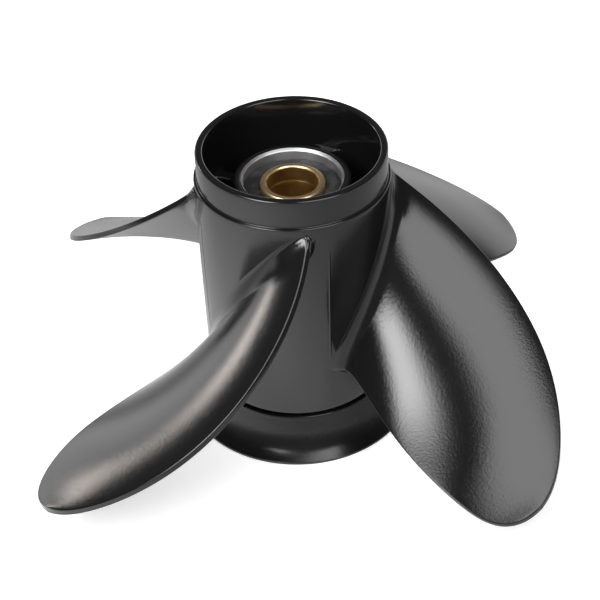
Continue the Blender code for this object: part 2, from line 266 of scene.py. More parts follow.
def make_paper():
    """White paper. Its glow in reflections is a bell near the object plus a ramp far from it."""
    material, tree, shader = new_material("floor_paper", PAPER_SEEN, 0.0)
    shader.inputs["Roughness"].default_value = PAPER_ROUGHNESS
    shader.inputs["Specular IOR Level"].default_value = 0.0
    shader.inputs["Emission Color"].default_value = WHITE
    place = object_place(tree)
    distance = tree.nodes.new("ShaderNodeVectorMath")
    distance.operation = "DISTANCE"
    feed(tree, distance.inputs[0], place)
    feed(tree, distance.inputs[1], NEAR_GLOW_PLACE)
    away = distance.outputs["Value"]
    squared = math_node(tree, "POWER", math_node(tree, "DIVIDE", away, NEAR_GLOW_REACH), 2.0)
    near = math_node(tree, "MULTIPLY", math_node(tree, "POWER", math.exp(-1), squared), NEAR_GLOW)
    far = ramp_node(tree, away, FAR_GLOW_SPAN, FAR_GLOW, "LINEAR")
    seen = ramp_node(tree, axes_of(tree, place)["Y"], SEEN_GLOW_SPAN, SEEN_GLOW, "LINEAR")
    camera_ray = is_camera_ray(tree)
    glow = mix_node(tree, "FLOAT", camera_ray, math_node(tree, "ADD", near, far), seen)
    feed(tree, shader.inputs["Emission Strength"], glow)
    paper = mix_node(tree, "RGBA", camera_ray, PAPER_REFLECTED, PAPER_SEEN)
    feed(tree, shader.inputs["Base Color"], paper)
    return material


def make_floor():
    """A flat square of paper round the origin."""
    half = FLOOR_SIDE / 2
    mesh = bpy.data.meshes.new("studio_floor")
    corners = [(-half, -half, 0), (half, -half, 0), (half, half, 0), (-half, half, 0)]
    mesh.from_pydata(corners, [], [(0, 1, 2, 3)])
    mesh.materials.append(make_paper())
    floor = bpy.data.objects.new("studio_floor", mesh)
    bpy.context.scene.collection.objects.link(floor)


def fade_edges(data, cuts):
    """Light nodes: strength is a product of smooth ramps, one for each cut across the panel.

    X and Y run from 0 to 1 over the panel. Each ramp is 0 at its limit and 1 a fade's width inside.
    """
    data.use_nodes = True
    tree = data.node_tree
    panel = axes_of(tree, tree.nodes.new("ShaderNodeNewGeometry").outputs["Parametric"])
    strength = 1.0
    for across, up, limit, fade in cuts:
        level = math_node(tree, "MULTIPLY", panel["X"], across)
        level = math_node(tree, "MULTIPLY_ADD", panel["Y"], up, level)
        strength = math_node(tree, "MULTIPLY", ramp_node(tree, level, (limit, limit - fade)), strength)
    feed(tree, tree.nodes["Emission"].inputs["Strength"], strength)


def make_softbox(name, angle, height, size, glow, cuts, roll=0.0):
    """An area light aimed at the camera's target, with one side as near to X as that allows.

    Its angle is from +Y towards +X, its height above level, and roll turns it in its own plane, all
    in degrees. Its power is pi times area times glow, so glow is the radiance of its middle.
    """
    angle, height = math.radians(angle), math.radians(height)
    level = math.cos(height)
    away = Vector((level * math.sin(angle), level * math.cos(angle), math.sin(height)))
    along = Vector((1, 0, 0)) - away * away.x
    along.normalize()
    data = bpy.data.lights.new(name, "AREA")
    data.shape = "RECTANGLE"
    data.size, data.size_y = size
    data.energy = math.pi * size[0] * size[1] * glow
    fade_edges(data, cuts)
    light = bpy.data.objects.new(name, data)
    bpy.context.scene.collection.objects.link(light)
    light.visible_camera = False
    turn = Matrix((along, away.cross(along), away)).transposed().to_4x4()
    turn = turn @ Matrix.Rotation(math.radians(roll), 4, "Z")
    light.matrix_world = Matrix.Translation(Vector(CAMERA_TARGET) + away * LAMP_DISTANCE) @ turn
    return light


def make_room():
    """World light: dim all round, and paler behind the object below the backdrop's top edge.

    The backdrop is a ramp towards the back times a ramp in height, and its edge rises to the right.
    """
    world = bpy.data.worlds.new("studio_room")
    bpy.context.scene.world = world
    world.use_nodes = True
    tree = world.node_tree
    way = axes_of(tree, tree.nodes.new("ShaderNodeTexCoord").outputs["Generated"])
    rise = ramp_node(tree, way["X"], BACKDROP_RISE_SPAN, BACKDROP_RISE, "LINEAR")
    height = math_node(tree, "SUBTRACT", way["Z"], rise)
    edge = (BACKDROP_TOP + BACKDROP_SOFTNESS, BACKDROP_TOP - BACKDROP_SOFTNESS)
    behind = ramp_node(tree, way["Y"], BACKDROP_SPAN)
    backdrop = math_node(tree, "MULTIPLY", behind, ramp_node(tree, height, edge))
    front = ramp_node(tree, way["Y"], FRONT_SPAN, (ROOM_GREY, FRONT_GREY))
    room = mix_node(tree, "FLOAT", backdrop, front, BACKDROP_GREY)
    seen = mix_node(tree, "FLOAT", is_camera_ray(tree), room, ROOM_SEEN)
    background = tree.nodes["Background"]
    feed(tree, background.inputs["Strength"], seen)
    feed(tree, background.inputs["Color"], WHITE)


make_floor()
lights = {name: make_softbox(name, **setting) for name, setting in SOFTBOXES.items()}
lights["lamp_back"].data.color = LAMP_TINT
make_room()
bpy.context.scene.view_settings.view_transform = "Standard"
print("lights", {name: round(light.data.energy, 1) for name, light in lights.items()})

# %% [markdown]
# ## Surfaces as grids
#
# Every piece here is a sheet of points on two parameters, closed one way or both ways. One helper
# turns such a sheet into a mesh. It numbers the points row by row and joins each one to its
# neighbours, so no face is written by hand, and the same few lines serve turned rings and blades.


# %% Helpers that turn a grid of points into a mesh
def grid_faces(rows, columns, close_rows=False, close_columns=False):
    """Quads of a grid: each joins point (i, j) with (i, j+1), (i+1, j+1) and (i+1, j)."""
    index = np.arange(rows * columns).reshape(rows, columns)
    if close_rows:
        index = np.vstack([index, index[:1]])
    if close_columns:
        index = np.hstack([index, index[:, :1]])
    quads = [index[:-1, :-1], index[:-1, 1:], index[1:, 1:], index[1:, :-1]]
    return np.stack([corner.ravel() for corner in quads], axis=1)


def mesh_piece(name, points, faces, material):
    """A smooth-shaded object at the origin, whose place is in its mesh. Faces are lists of numbers."""
    mesh = bpy.data.meshes.new(name)
    mesh.from_pydata(points.reshape(-1, 3), [], faces)
    mesh.polygons.foreach_set("use_smooth", np.ones(len(mesh.polygons), dtype=bool))
    mesh.materials.append(material)
    mesh.update()
    piece = bpy.data.objects.new(name, mesh)
    bpy.context.scene.collection.objects.link(piece)
    return piece


def finish_piece(piece, slot, *nodes):
    """Lets the piece ride on the casting and hides the imported nodes it replaces. The slot is not
    used.
    """
    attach(piece, "root")
    if nodes:
        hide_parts(*nodes)
    print(piece.name, "has", len(piece.data.polygons), "faces")


# %% [markdown]
# ## The black paint
#
# The casting is sprayed and baked. Up close the paint is a little uneven, like the skin of an
# orange, with a grain of a third to two thirds of a millimetre, and that grain is what makes the
# lamps' edges look soft and sandy. A bump from two sizes of noise gives it. Handling leaves faint
# dull patches, so the roughness drifts a little over a few centimetres. Both effects serve several
# materials, so they are node groups with their own inputs.

# %% Node groups for grain, handling marks and turning marks
GRAIN_DETAIL = 1.0
COARSE_GRAIN_WAVES = 0.3
COARSE_GRAIN_HEIGHT = 1.2
BLOT_DETAIL = 5.0
BLOT_SPAN = (0.42, 0.68)
TURNING_DETAIL = 3.0


def new_group(name, labels, outputs):
    """An empty shader node group with these number inputs and outputs, by label."""
    group = bpy.data.node_groups.new(name, "ShaderNodeTree")
    for in_out, names in (("INPUT", labels), ("OUTPUT", outputs)):
        for label in names:
            group.interface.new_socket(label, in_out=in_out, socket_type="NodeSocketFloat")
    given, result = group.nodes.new("NodeGroupInput"), group.nodes.new("NodeGroupOutput")
    return group, given.outputs, result.inputs


def noise_node(tree, place, waves, detail):
    """Noise around 0.5 at a place, with so many waves for each metre."""
    node = tree.nodes.new("ShaderNodeTexNoise")
    feed(tree, node.inputs["Vector"], place)
    feed(tree, node.inputs["Scale"], waves)
    feed(tree, node.inputs["Detail"], detail)
    return node.outputs["Fac"]


def shaft_distance(tree):
    """Distance of the surface from the shaft axis: the square root of x^2 + y^2."""
    place = axes_of(tree, object_place(tree))
    square = math_node(tree, "MULTIPLY", place["X"], place["X"])
    return math_node(tree, "SQRT", math_node(tree, "MULTIPLY_ADD", place["Y"], place["Y"], square))


def make_peel_group():
    """Height of the sprayed paint in metres: grain noise plus noise of waves three times as long."""
    group, given, result = new_group("paint_peel", ("Grain Waves", "Grain Depth"), ("Height",))
    place = object_place(group)
    fine = noise_node(group, place, given["Grain Waves"], GRAIN_DETAIL)
    long_waves = math_node(group, "MULTIPLY", given["Grain Waves"], COARSE_GRAIN_WAVES)
    coarse = noise_node(group, place, long_waves, GRAIN_DETAIL)
    both = math_node(group, "MULTIPLY_ADD", coarse, COARSE_GRAIN_HEIGHT, fine)
    feed(group, result["Height"], math_node(group, "MULTIPLY", both, given["Grain Depth"]))
    return group


def make_handling_group():
    """Roughness that drifts: clean value plus dull value times a mask of broad, soft blots."""
    labels = ("Clean Roughness", "Added Dullness", "Blot Waves")
    group, given, result = new_group("handling_marks", labels, ("Roughness", "Blots"))
    noise = noise_node(group, object_place(group), given["Blot Waves"], BLOT_DETAIL)
    blots = ramp_node(group, noise, BLOT_SPAN)
    clean, dull = given["Clean Roughness"], given["Added Dullness"]
    feed(group, result["Roughness"], math_node(group, "MULTIPLY_ADD", blots, dull, clean))
    feed(group, result["Blots"], blots)
    return group


def make_turning_group():
    """Height of a lathe's marks: noise read along the radius and the height only, so it runs round."""
    group, given, result = new_group("turning_marks", ("Mark Waves", "Mark Depth"), ("Height",))
    along = group.nodes.new("ShaderNodeCombineXYZ")
    feed(group, along.inputs["X"], shaft_distance(group))
    feed(group, along.inputs["Y"], axes_of(group, object_place(group))["Z"])
    streaks = noise_node(group, along.outputs[0], given["Mark Waves"], TURNING_DETAIL)
    feed(group, result["Height"], math_node(group, "MULTIPLY", streaks, given["Mark Depth"]))
    return group


paint_peel = make_peel_group()
handling_marks = make_handling_group()
turning_marks = make_turning_group()
print("groups", [group.name for group in bpy.data.node_groups])

# %% [markdown]
# Each material keeps its own Principled BSDF and only takes values from the groups. The black itself
# is nearly as dark as paint can be: all that shows is gloss. The same function makes every finish:
# paint and rubber take their bump from the grain, and bare metal takes it from the lathe's marks.

# %% One function for every finish, and the paints
PAINT_BLACK = (0.0060, 0.0060, 0.0064, 1.0)
# First the marks: clean roughness, what blots add to it, and the blots' waves for each metre. Then
# the grain: its waves for each metre, and its depth in metres. The other finishes have the same.
PAINTS = {
    "blade_paint": ((0.11, 0.02, 45.0), (3300.0, 0.000023)),
    "barrel_paint": ((0.12, 0.02, 45.0), (1500.0, 0.000010)),
    "bore_paint": ((0.22, 0.05, 45.0), (2200.0, 0.000006)),
    "tail_ring_paint": ((0.25, 0.03, 45.0), (2600.0, 0.000022)),
}


def place_group(tree, group, values):
    """Puts a group into a material with its own values, in the order of its inputs."""
    node = tree.nodes.new("ShaderNodeGroup")
    node.node_tree = group
    node.name = group.name
    for socket, value in zip(node.inputs, values):
        socket.default_value = value
    return node.outputs


def make_finish(name, color, metallic, marks, bump_group, bump_values):
    """A material whose roughness comes from the handling marks and whose bump from a group's height.

    The height is in metres, and a bump distance of 1 leaves it as it is.
    """
    material, tree, shader = new_material(name, color, metallic)
    roughness = place_group(tree, handling_marks, marks)["Roughness"]
    feed(tree, shader.inputs["Roughness"], roughness)
    bump = tree.nodes.new("ShaderNodeBump")
    bump.inputs["Strength"].default_value = 1.0
    bump.inputs["Distance"].default_value = 1.0
    feed(tree, bump.inputs["Height"], place_group(tree, bump_group, bump_values)["Height"])
    feed(tree, shader.inputs["Normal"], bump.outputs["Normal"])
    return material


def blend_color(material, share, first, second):
    """Base Color goes from the first colour, where share is 0, to the second, where it is 1."""
    tree = material.node_tree
    color = mix_node(tree, "RGBA", share, first, second)
    feed(tree, tree.nodes["Principled BSDF"].inputs["Base Color"], color)


finishes = {
    name: make_finish(name, PAINT_BLACK, 0.0, marks, paint_peel, grain)
    for name, (marks, grain) in PAINTS.items()
}
print("paints", list(finishes))

# %% [markdown]
# ## The barrel
#
# The barrel is the outer tube of the hub. It is a turned shape: a closed outline in radius and
# height, turned round the shaft. A lathe profile is the natural way, but here the outline stays an
# array, because four thin casting seams also run down the outside. They stand proud of the taper, so
# the radius gets a small bump that depends on the angle too, and the angles lie closer together
# there.

# %% Outline helpers
def arc(centre, radii, start, end, steps):
    """Points (r, z) of a round or oval arc: centre + radii * (cos a, sin a), with a in degrees."""
    angle = np.radians(np.linspace(start, end, steps + 1))
    return np.array(centre) + np.array(radii) * np.stack([np.cos(angle), np.sin(angle)], axis=1)


def line(start, end, steps):
    """Points (r, z) evenly spaced between two points, without the two points themselves."""
    share = np.arange(1, steps)[:, None] / steps
    return np.array(start) + (np.array(end) - np.array(start)) * share


def round_shaft(radius, angle, height):
    """Points round the shaft: x = radius * cos(angle), y = radius * sin(angle), z = height."""
    place = np.broadcast_arrays(radius * np.cos(angle), radius * np.sin(angle), height)
    return np.stack(place, axis=-1)


def turned_points(profile, angles):
    """Grid of a closed (r, z) outline turned round the shaft, one row for each of its points."""
    return round_shaft(profile[:, 0, None], angles, profile[:, 1, None])


def even_angles(steps):
    """Angles i * 2 pi / steps."""
    return np.arange(steps) * TURN / steps


def ring_piece(name, points, material):
    """Closed ring of points, from an outline that runs down its outer side and up its inner side."""
    faces = grid_faces(*points.shape[:2], close_rows=True, close_columns=True)
    return mesh_piece(name, points, faces[:, ::-1].tolist(), finishes[material])


def turned_piece(name, profile, steps, material):
    """Closed ring: the outline turned round the shaft in even steps."""
    return ring_piece(name, turned_points(profile, even_angles(steps)), material)


# %% Barrel shell
SHOULDER_Z = 113.1 * MM
BARREL_AFT_RADIUS = 37.74 * MM
BAND_RADIUS = 37.64 * MM
BARREL_BORE_RADIUS = 34.5 * MM
RIM_ROUNDING = 0.8 * MM
SHOULDER_ROUNDING = 0.5 * MM
NECK_ROUNDING = 0.35 * MM
SEAMS = 4
SEAM_ANGLE = math.radians(-70.0)
SEAM_HEIGHT = 0.16 * MM
SEAM_WIDTH = 0.35 * MM
SEAM_TOP_Z = 103.0 * MM
SEAM_AFT_Z = 45.0 * MM
SEAM_FADE = 6.0 * MM
SEAM_STRIP = 1.0 * MM
SEAM_STRIP_GAP = 0.3 * MM
SEAM_STRIP_STEPS = 21
BARREL_STEPS = 288


def barrel_radius(z):
    """Outer radius of the barrel's straight taper at a height."""
    share = (z - BARREL_AFT_Z) / (SHOULDER_Z - BARREL_AFT_Z)
    return BARREL_AFT_RADIUS + (SHOULDER_RADIUS - BARREL_AFT_RADIUS) * share


def barrel_outline():
    """The band, the shoulder with a small rounded neck above it, the taper, and the bore."""
    rim, edge, neck = RIM_ROUNDING, SHOULDER_ROUNDING, NECK_ROUNDING
    band, bore, foot = BAND_RADIUS, BARREL_BORE_RADIUS, BARREL_AFT_RADIUS
    top, neck_z = RIM_Z - rim, SHOULDER_Z + neck
    taper_top, taper_aft = SHOULDER_Z - edge, BARREL_AFT_Z + edge
    return np.concatenate(
        [
            arc((band - rim, top), rim, 90, 0, 8),
            line((band, top), (band, neck_z), 8),
            arc((band + neck, neck_z), neck, 180, 270, 6),
            arc((SHOULDER_RADIUS - edge, taper_top), edge, 90, 0, 8),
            line((SHOULDER_RADIUS, taper_top), (foot, taper_aft), 60),
            arc((foot - edge, taper_aft), edge, 0, -90, 6),
            line((foot, BARREL_AFT_Z), (bore, BARREL_AFT_Z), 3),
            line((bore, BARREL_AFT_Z), (bore, top), 24),
            arc((bore + rim, top), rim, 180, 90, 8),
        ]
    )


def seam_height(angle, z):
    """Height of the casting seams: a bell exp(-2 (away / width)^2), faded in and out along z."""
    apart = TURN / SEAMS
    away = (angle - SEAM_ANGLE + apart / 2) % apart - apart / 2
    across = np.exp(-((away * SHOULDER_RADIUS / SEAM_WIDTH) ** 2) * 2)
    fade = np.clip((z - SEAM_AFT_Z) / SEAM_FADE, 0, 1) * np.clip((SEAM_TOP_Z - z) / SEAM_FADE, 0, 1)
    return SEAM_HEIGHT * across * fade


def barrel_angles():
    """Even angles, with a strip of closer ones over each seam."""
    seams = SEAM_ANGLE + np.arange(SEAMS)[:, None] * TURN / SEAMS
    near = seams + np.linspace(-1, 1, SEAM_STRIP_STEPS) * SEAM_STRIP / SHOULDER_RADIUS
    even = even_angles(BARREL_STEPS)
    gap = np.abs((even[:, None] - seams.ravel() + math.pi) % TURN - math.pi).min(axis=1)
    kept = even[gap > (SEAM_STRIP + SEAM_STRIP_GAP) / SHOULDER_RADIUS]
    return np.sort(np.concatenate([kept, near.ravel() % TURN]))


def barrel_points():
    """The turned outline, whose radius grows by the seams' height on its outside."""
    outline, angles = barrel_outline(), barrel_angles()
    points = turned_points(outline, angles)
    radius, height = outline[:, 0, None], outline[:, 1, None]
    outside = (radius > BAND_RADIUS - RIM_ROUNDING) * (height < SHOULDER_Z)
    points[..., :2] *= (1 + seam_height(angles, height) * outside / radius)[..., None]
    return points


barrel = ring_piece("barrel_shell", barrel_points(), "barrel_paint")
finish_piece(barrel, "black_paint", "outer_barrel")

# %% [markdown]
# ## The tail ring
#
# The flared ring at the back is a separate piece pressed into the barrel. It lets the exhaust spread
# as it leaves. It too is a turned outline: a spigot inside the barrel, a cone, a rounded bend, a
# hollow flare out to a thin lip, the flat foot, and inside a quarter of an ellipse up to a straight
# throat. The dark line round the bottom of the barrel is the gap left between the two pieces.

# %% Tail ring
TAIL_GAP = 1.3 * MM
TAIL_TOP_RADIUS = 38.5 * MM
TAIL_BEND = (42.2 * MM, 7.4 * MM)
TAIL_BEND_ROUNDING = 3.6 * MM
TAIL_LIP_TILT = 62.0
TAIL_LIP_Z = 1.5 * MM
TAIL_EDGE = 0.5 * MM
TAIL_FOOT_INNER_RADIUS = 45.6 * MM
TAIL_THROAT_RADIUS = 32.2 * MM
TAIL_INNER_FLARE_HEIGHT = 11.0 * MM
SPIGOT_GAP = 0.3 * MM
SPIGOT_RADIUS = BARREL_BORE_RADIUS - SPIGOT_GAP
# The bend takes the place of the cone's last points and of the flare's first.
CONE_STEPS, CONE_KEPT = 16, 9
FLARE_STEPS, FLARE_START, FLARE_AIM = 24, 12, 10
BEND_STEPS = 12
TAIL_STEPS = 288


def bowed_line(start, end, end_tilt, steps):
    """Circular arc between two points that reaches the end at a given slope from the upright.

    The chord's own slope lies half way between the slopes at the two ends.
    """
    start, end = np.array(start), np.array(end)
    reach = end - start
    chord_tilt = math.atan2(reach[0], -reach[1])
    half_turn = math.radians(end_tilt) - chord_tilt
    share = np.linspace(0, 1, steps)[:, None]
    turn = (2 * share - 1) * half_turn
    sideways = np.array([math.cos(chord_tilt), math.sin(chord_tilt)])
    sag = (math.cos(half_turn) - np.cos(turn)) / (2 * math.sin(half_turn))
    along = (np.sin(turn) + math.sin(half_turn)) / (2 * math.sin(half_turn))
    return start + reach * along + sideways * sag * np.linalg.norm(reach)


def rounded_corner(before, corner, after, rounding, steps):
    """Curve that cuts a corner off: from the line before it to the line after it, as a parabola."""
    before, corner, after = np.array(before), np.array(corner), np.array(after)
    first = corner + (before - corner) * rounding / np.linalg.norm(before - corner)
    last = corner + (after - corner) * rounding / np.linalg.norm(after - corner)
    share = np.linspace(0, 1, steps)[:, None]
    return (1 - share) ** 2 * first + 2 * share * (1 - share) * corner + share**2 * last


def tail_outline():
    """Spigot, cone, bend, flare, rounded lip, flat foot, and the inner flare up to the throat."""
    edge = TAIL_EDGE
    top = BARREL_AFT_Z - TAIL_GAP
    lip = FOOT_RADIUS - edge
    throat, foot, flare_z = TAIL_THROAT_RADIUS, TAIL_FOOT_INNER_RADIUS, TAIL_INNER_FLARE_HEIGHT
    lip_arc = arc((lip, TAIL_LIP_Z - edge), edge, 90 - TAIL_LIP_TILT, 0, 6)
    flare = bowed_line(TAIL_BEND, lip_arc[0], TAIL_LIP_TILT, FLARE_STEPS)
    cone_top = (TAIL_TOP_RADIUS, top - edge)
    return np.concatenate(
        [
            [(throat, SPIGOT_TOP_Z), (SPIGOT_RADIUS, SPIGOT_TOP_Z)],
            line((SPIGOT_RADIUS, SPIGOT_TOP_Z), (SPIGOT_RADIUS, top), 4),
            [(SPIGOT_RADIUS, top)],
            arc((TAIL_TOP_RADIUS - edge, top - edge), edge, 90, 20, 5),
            line(cone_top, TAIL_BEND, CONE_STEPS)[:CONE_KEPT],
            rounded_corner(cone_top, TAIL_BEND, flare[FLARE_AIM], TAIL_BEND_ROUNDING, BEND_STEPS),
            flare[FLARE_START:-1],
            lip_arc,
            arc((lip, edge), edge, 0, -90, 6),
            line((lip, 0), (foot, 0), 4),
            arc((foot, flare_z), (foot - throat, flare_z), 270, 180, 30),
            line((throat, flare_z), (throat, SPIGOT_TOP_Z), 6),
        ]
    )


ring = turned_piece("flared_ring_shell", tail_outline(), TAIL_STEPS, "tail_ring_paint")
finish_piece(ring, "black_paint", "flared_tail_ring")

# %% [markdown]
# ## The inner hub
#
# The webs carry a smaller tube inside the barrel. It is cast and painted with the rest, and then its
# mouth is bored out bright to take the rubber bush. Paint and bare metal meet along a circle, so the
# hub is two rings that touch: a painted outer one with a rounded rim, and a thin machined one that
# lines the mouth and the bore.

# %% Inner hub and its machined lining
HUB_RADIUS = 23.4 * MM
HUB_TOP_ROUNDING = 1.4 * MM
HUB_MOUTH_RADIUS = 20.45 * MM
HUB_MOUTH_DEPTH = 1.0 * MM
HUB_BORE_RADIUS = 19.6 * MM
HUB_LIP_RADIUS = 15.0 * MM
HUB_LIP_THICKNESS = 8.0 * MM
HUB_AFT_ROUNDING = 1.0 * MM
LINING_THICKNESS = 0.5 * MM
MOUTH_EDGE = 0.25 * MM
HUB_STEPS = 240


def hub_outline():
    """Painted ring: rounded rim, long outer wall, the stop lip at the back, and the inside wall."""
    top, aft = HUB_TOP_ROUNDING, HUB_AFT_ROUNDING
    lip_z = HUB_AFT_Z + HUB_LIP_THICKNESS
    inside = HUB_BORE_RADIUS + LINING_THICKNESS
    rim = (HUB_RADIUS - top, HUB_TOP_Z - top)
    outer = (HUB_AFT_RADIUS - aft, HUB_AFT_Z + aft)
    inner = (HUB_LIP_RADIUS + aft, HUB_AFT_Z + aft)
    bevel_z = HUB_TOP_Z - HUB_MOUTH_DEPTH
    return np.concatenate(
        [
            arc(rim, top, 90, 0, 12),
            line((HUB_RADIUS, rim[1]), (HUB_AFT_RADIUS, outer[1]), 20),
            arc(outer, aft, 0, -90, 6),
            line((outer[0], HUB_AFT_Z), (inner[0], HUB_AFT_Z), 6),
            arc(inner, aft, 270, 180, 6),
            [(HUB_LIP_RADIUS, lip_z), (HUB_BORE_RADIUS - aft, lip_z), (inside, lip_z)],
            line((inside, lip_z), (inside, bevel_z), 6),
            [(inside, bevel_z), (HUB_MOUTH_RADIUS, HUB_TOP_Z)],
        ]
    )


def lining_outline():
    """Machined ring: the bevel of the mouth, a small rounded edge, and the bore."""
    bore, edge = HUB_BORE_RADIUS, MOUTH_EDGE
    outside = bore + LINING_THICKNESS
    bottom, bevel_z = HUB_AFT_Z + HUB_LIP_THICKNESS, HUB_TOP_Z - HUB_MOUTH_DEPTH
    mouth = (HUB_MOUTH_RADIUS, HUB_TOP_Z)
    return np.concatenate(
        [
            [mouth, (outside, bevel_z), (outside, bottom), (bore, bottom)],
            line((bore, bottom), (bore, bevel_z - edge), 20),
            arc((bore + edge, bevel_z - edge), edge, 180, 120, 5),
            line((bore + edge, bevel_z), mouth, 8),
        ]
    )


# %% Bare metal with turning marks
ALUMINIUM = (0.56, 0.56, 0.57, 1.0)
ALUMINIUM_MARKS = (0.43, 0.12, 120.0)
ALUMINIUM_TURNING = (5000.0, 0.000006)

finishes["bare_aluminium"] = make_finish(
    "machined_aluminium", ALUMINIUM, 1.0, ALUMINIUM_MARKS, turning_marks, ALUMINIUM_TURNING
)
tube = turned_piece("inner_hub_tube", hub_outline(), HUB_STEPS, "bore_paint")
finish_piece(tube, "black_paint", "inner_hub")
lining = turned_piece("machined_hub_mouth", lining_outline(), HUB_STEPS, "bare_aluminium")
finish_piece(lining, "machined_aluminium")

# %% [markdown]
# ## Webs
#
# Four webs join the inner hub to the barrel and leave four passages for the exhaust. Each is a
# loft along the radius: its section is an upright rounded bar, and the bar grows wider near both
# walls, where a casting always has a fillet. The growth is that of a quarter circle, so the web
# leaves the wall without a crease.

# %% Webs
WEBS = 4
WEB_ANGLE = math.radians(64.2)
WEB_THICKNESS = 5.0 * MM
WEB_FILLET = 4.5 * MM
WEB_CORNER = 1.1 * MM
INNER_SINK = 0.8 * MM
OUTER_SINK = 0.4 * MM
WEB_STEPS = 61
WEB_CORNER_STEPS = 8


def fillet_growth(distance, radius):
    """How far a quarter-round fillet stands out: radius - sqrt(radius^2 - (radius - distance)^2)."""
    depth = np.clip(radius - distance, 0.0, radius)
    return radius - np.sqrt(np.maximum(radius**2 - depth**2, 0.0))


def bar_outline(steps):
    """Unit signs and roundings of an upright bar: corners (side, end) and quarter arcs between."""
    quarter = np.linspace(0, math.pi / 2, steps)
    corners = [(1, 1, 0), (-1, 1, 1), (-1, -1, 2), (1, -1, 3)]
    side = np.concatenate([np.full(steps, s) for s, _, _ in corners])
    end = np.concatenate([np.full(steps, e) for _, e, _ in corners])
    angle = np.concatenate([quarter + number * math.pi / 2 for _, _, number in corners])
    return side, end, np.cos(angle), np.sin(angle)


def web_points(number):
    """Rings along the radius. Each ring is a bar whose half width is thickness / 2 plus the fillets."""
    inner = HUB_RADIUS + (HUB_AFT_RADIUS - HUB_RADIUS) / 2
    outer = BARREL_BORE_RADIUS
    share = (1 - np.cos(np.linspace(0, math.pi, WEB_STEPS))) / 2
    radii = inner + (outer - inner) * share
    growth = fillet_growth(radii - inner, WEB_FILLET) + fillet_growth(outer - radii, WEB_FILLET)
    half = WEB_THICKNESS / 2 + growth
    radii = np.concatenate([[inner - INNER_SINK], radii, [outer + OUTER_SINK]])[:, None]
    half = np.concatenate([half[:1], half, half[-1:]])[:, None]
    side, end, round_side, round_end = bar_outline(WEB_CORNER_STEPS)
    across = side * (half - WEB_CORNER) + WEB_CORNER * round_side
    middle, reach = (WEB_TOP_Z + WEB_AFT_Z) / 2, (WEB_TOP_Z - WEB_AFT_Z) / 2
    height = middle + end * (reach - WEB_CORNER) + WEB_CORNER * round_end
    return round_shaft(radii, across / radii + WEB_ANGLE + number * TURN / WEBS, height)


def closed_loft(name, rings, material):
    """Mesh of rings one after another, with the first and last ring each closed by one face."""
    count, size = rings.shape[:2]
    faces = grid_faces(count, size, close_columns=True).tolist()
    faces.append(list(range(size)))
    faces.append(list(range(count * size - 1, (count - 1) * size - 1, -1)))
    piece = mesh_piece(name, rings, faces, material)
    shape = bmesh.new()
    shape.from_mesh(piece.data)
    bmesh.ops.recalc_face_normals(shape, faces=shape.faces)
    shape.to_mesh(piece.data)
    shape.free()
    return piece


for number in range(WEBS):
    web = closed_loft(f"web_casting_{number + 1}", web_points(number), finishes["bore_paint"])
    finish_piece(web, "black_paint", f"hub_web_{number + 1}")

# %% [markdown]
# ## Rubber bush
#
# The bush is moulded rubber, pressed between the hub and the sleeve, and it slips if a blade hits
# something. Only its front face shows. It is matt and a little dusty, with lighter smears where
# fingers and the press have rubbed it, so its colour and its roughness both follow the blots.

# %% Rubber bush
BUSH_GAP = 0.05 * MM
BUSH_OUTER = HUB_BORE_RADIUS - BUSH_GAP
BUSH_INNER = SLEEVE_RADIUS + BUSH_GAP
BUSH_EDGE = 0.6 * MM
BUSH_STEPS = 192
RUBBER_DARK = (0.010, 0.010, 0.011, 1.0)
RUBBER_DUSTY = (0.026, 0.026, 0.027, 1.0)
RUBBER_MARKS = (0.42, 0.3, 170.0)
RUBBER_GRAIN = (3000.0, 0.00002)


def bush_outline():
    """Front face with rounded edges, straight outer and inner walls, and a flat aft end."""
    edge, inner, outer = BUSH_EDGE, BUSH_INNER, BUSH_OUTER
    top, aft = BUSH_TOP_Z - edge, HUB_AFT_Z + HUB_LIP_THICKNESS
    return np.concatenate(
        [
            arc((inner + edge, top), edge, 180, 90, 6),
            line((inner + edge, BUSH_TOP_Z), (outer - edge, BUSH_TOP_Z), 12),
            arc((outer - edge, top), edge, 90, 0, 6),
            line((outer, top), (outer, aft), 10),
            [(outer, aft), (inner, aft)],
            line((inner, aft), (inner, top), 10),
        ]
    )


rubber = make_finish("bush_rubber", RUBBER_DARK, 0.0, RUBBER_MARKS, paint_peel, RUBBER_GRAIN)
blots = rubber.node_tree.nodes[handling_marks.name].outputs["Blots"]
blend_color(rubber, blots, RUBBER_DARK, RUBBER_DUSTY)
finishes["rubber"] = rubber
bush = turned_piece("rubber_bush_ring", bush_outline(), BUSH_STEPS, "rubber")
finish_piece(bush, "bush_rubber", "rubber_bush")
